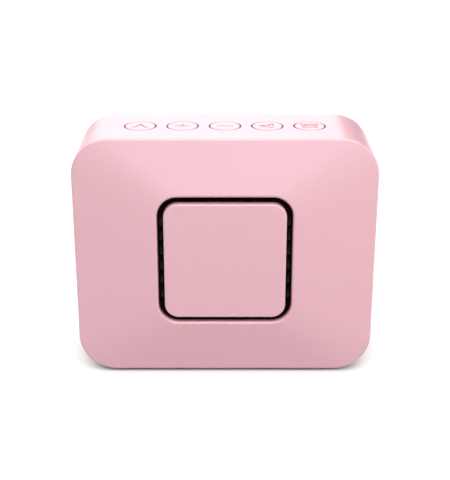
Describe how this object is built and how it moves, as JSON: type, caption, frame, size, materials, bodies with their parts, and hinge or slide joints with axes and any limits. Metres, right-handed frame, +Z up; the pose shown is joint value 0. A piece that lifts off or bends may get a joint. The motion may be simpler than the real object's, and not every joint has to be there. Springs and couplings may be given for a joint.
{
  "type": "shower speaker",
  "caption": "Small waterproof loudspeaker: rounded box with a bevelled front, a floating square panel in a dark sound slot, and a row of round keys on top.",
  "frame": {"origin": "middle of the footprint, on the surface the feet stand on", "axes": "+X to the right seen from the front, +Y from the front to the back, +Z up"},
  "size_m": [0.088, 0.0296, 0.0738],
  "materials": {
    "housing": "satin, fine moulded texture, pink",
    "panel": "satin, pink",
    "keys": "satin, pink, with engraved icons",
    "flap": "soft matt silicone, pink",
    "black_plastic": "matt black moulding",
    "mesh": "fine black woven mesh",
    "silicone": "translucent grey silicone",
    "foam": "closed-cell black foam",
    "frame_steel": "black coated steel",
    "rubber_roll": "black rubber",
    "paper_cone": "black pressed paper",
    "spider_cloth": "impregnated cloth",
    "copper": "enamelled copper on a paper former",
    "ferrite": "grey sintered ferrite",
    "screws": "zinc plated",
    "tin": "tin plated",
    "circuit_board": "green solder mask",
    "chip": "moulded package",
    "components": "ceramic and ferrite parts",
    "plunger": "off-white nylon",
    "white_plastic": "white nylon",
    "ribbon": "white polyester film",
    "capsule": "bright can",
    "lamp": "clear with yellow phosphor",
    "light_guide": "clear acrylic",
    "cell_wrap": "blue heat-shrink sleeve over the can",
    "red_lead": "red insulation",
    "black_lead": "black insulation",
    "feet": "matt silicone, pink"
  },
  "bodies": {
    "housing": {"acoustic_mesh": "mesh", "amplifier_chip": "chip", "battery_cell": "cell_wrap", "battery_cradle": "black_plastic", "battery_foam": "foam", "battery_lead_black": "black_lead", "battery_lead_red": "red_lead", "button_board": "circuit_board", "button_bracket": "black_plastic", "cover_screws": "screws", "driver_basket": "frame_steel", "driver_gasket": "foam", "driver_surround": "rubber_roll", "driver_terminals": "tin", "face_panel": "panel", "flap_anchor": "flap", "foot_front_left": "feet", "foot_front_right": "feet", "foot_rear_left": "feet", "foot_rear_right": "feet", "front_housing": "housing", "grille_plate": "black_plastic", "housing_seal": "silicone", "inner_screws": "screws", "keypad_membrane": "silicone", "lead_headers": "white_plastic", "light_pipe": "light_guide", "magnet_ring": "ferrite", "magnet_yoke": "frame_steel", "main_board": "circuit_board", "mic_boot": "silicone", "microphone": "capsule", "passive_components": "components", "pole_plate": "frame_steel", "protection_board": "circuit_board", "rear_cover": "housing", "ribbon_cable": "ribbon", "ribbon_sockets": "white_plastic", "speaker_lead_black": "black_lead", "speaker_lead_red": "red_lead", "spider": "spider_cloth", "status_led": "lamp", "tact_switches": "black_plastic", "usb_shell": "tin", "usb_tongue": "black_plastic", "wireless_chip": "chip"},
    "key_mode": {"button_mode": "keys", "plunger_mode": "plunger"},
    "key_volume_up": {"button_volume_up": "keys", "plunger_volume_up": "plunger"},
    "key_volume_down": {"button_volume_down": "keys", "plunger_volume_down": "plunger"},
    "key_play": {"button_play": "keys", "plunger_play": "plunger"},
    "key_call": {"button_call": "keys", "plunger_call": "plunger"},
    "driver_moving": {"driver_cone": "paper_cone", "dust_cap": "paper_cone", "voice_coil": "copper"},
    "flap": {"port_flap": "flap"}
  },
  "joints": [
    {"name": "press_mode", "type": "slide", "parent": "housing", "child": "key_mode", "axis": [0, 0, -1], "range_m": [0, 0.00035], "stiffness_N_per_m": 4000, "deforming": ["keypad_membrane"]},
    {"name": "press_volume_up", "type": "slide", "parent": "housing", "child": "key_volume_up", "axis": [0, 0, -1], "range_m": [0, 0.00035], "stiffness_N_per_m": 4000, "deforming": ["keypad_membrane"]},
    {"name": "press_volume_down", "type": "slide", "parent": "housing", "child": "key_volume_down", "axis": [0, 0, -1], "range_m": [0, 0.00035], "stiffness_N_per_m": 4000, "deforming": ["keypad_membrane"]},
    {"name": "press_play", "type": "slide", "parent": "housing", "child": "key_play", "axis": [0, 0, -1], "range_m": [0, 0.00035], "stiffness_N_per_m": 4000, "deforming": ["keypad_membrane"]},
    {"name": "press_call", "type": "slide", "parent": "housing", "child": "key_call", "axis": [0, 0, -1], "range_m": [0, 0.00035], "stiffness_N_per_m": 4000, "deforming": ["keypad_membrane"]},
    {"name": "cone_travel", "type": "slide", "parent": "housing", "child": "driver_moving", "axis": [0, -1, 0], "range_m": [-0.001, 0.001], "stiffness_N_per_m": 1200, "deforming": ["driver_surround", "spider"]},
    {"name": "flap_hinge", "type": "hinge", "parent": "housing", "child": "flap", "pos_m": [0.0312, 0.0147, 0.0207], "axis": [-1, 0, 0], "range_deg": [0, 110], "stiffness_Nm_per_rad": 0.0005}
  ]
}
